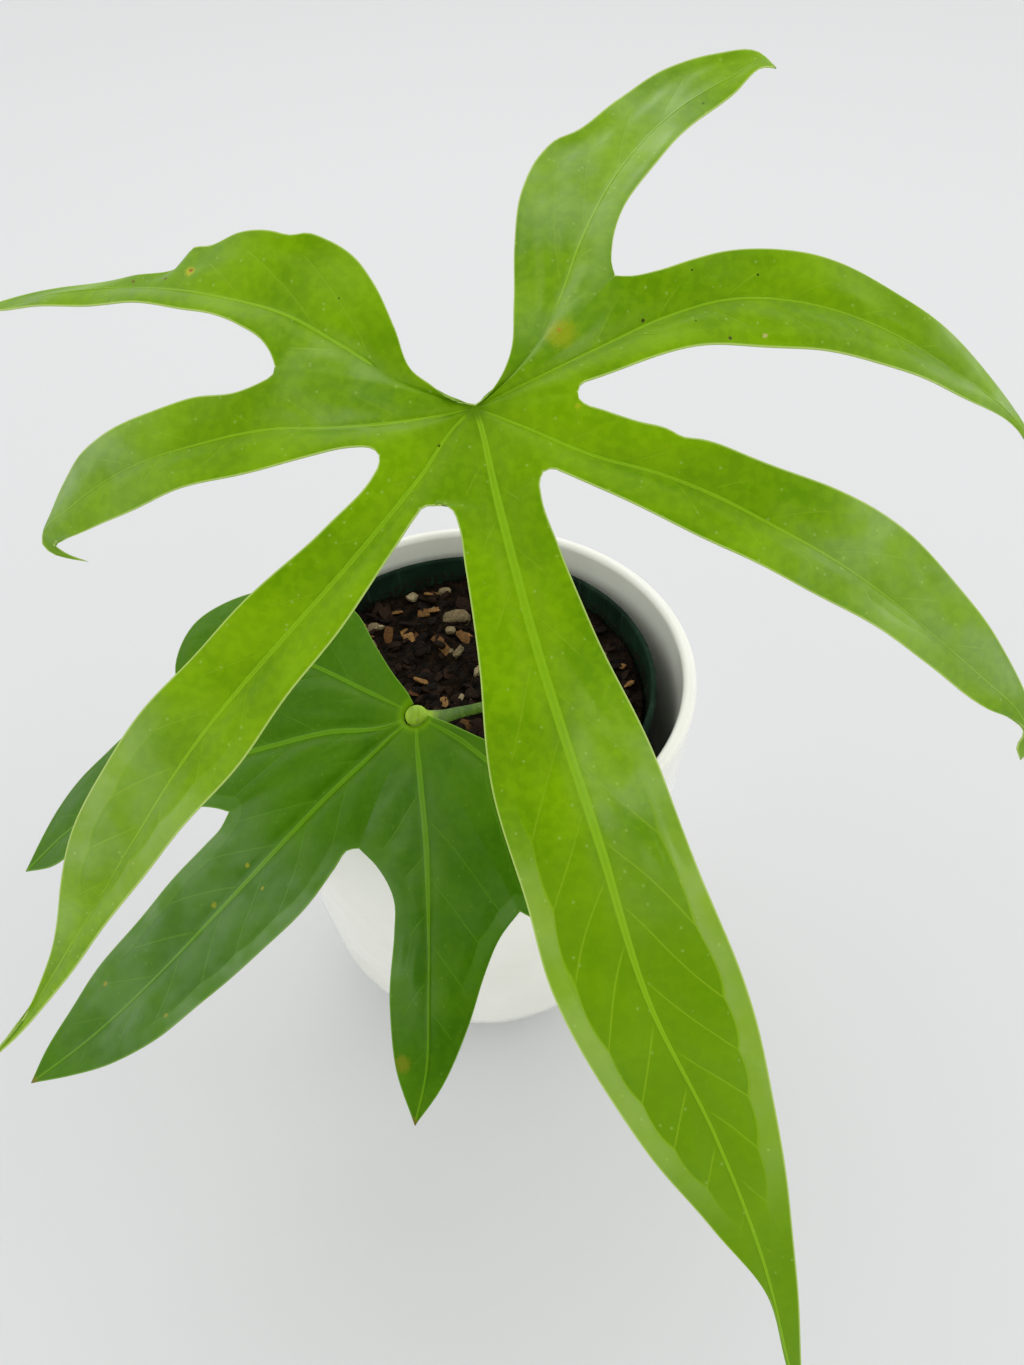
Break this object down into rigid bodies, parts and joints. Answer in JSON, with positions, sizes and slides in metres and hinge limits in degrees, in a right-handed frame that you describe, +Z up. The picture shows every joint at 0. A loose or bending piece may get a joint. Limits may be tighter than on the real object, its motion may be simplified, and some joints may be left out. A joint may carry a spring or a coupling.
{
  "type": "potted anthurium pedatoradiatum",
  "caption": "Young aroid house plant with a large and a small fingered leaf on slender petioles, in a plastic nursery pot that stands inside a round glazed cachepot.",
  "frame": {"origin": "centre of the cachepot's flat underside, on the surface that it stands on", "axes": "+Z up along the cachepot's axis; -Y to the front, where the leaves lean; +X to the right as seen from the front"},
  "size_m": [0.2254, 0.2453, 0.2819],
  "materials": {
    "glaze": "gloss",
    "nursery_plastic": "satin",
    "potting_mix": "matte",
    "stem": "matte",
    "petiole": "satin",
    "young_blade": "satin",
    "old_blade": "satin"
  },
  "bodies": {
    "root": {"cachepot": "glaze", "nursery_pot": "nursery_plastic", "potting_mix": "potting_mix", "stem": "stem", "upper_petiole": "petiole", "upper_leaf": "young_blade", "lower_petiole": "petiole", "lower_leaf": "old_blade"}
  },
  "joints": []
}
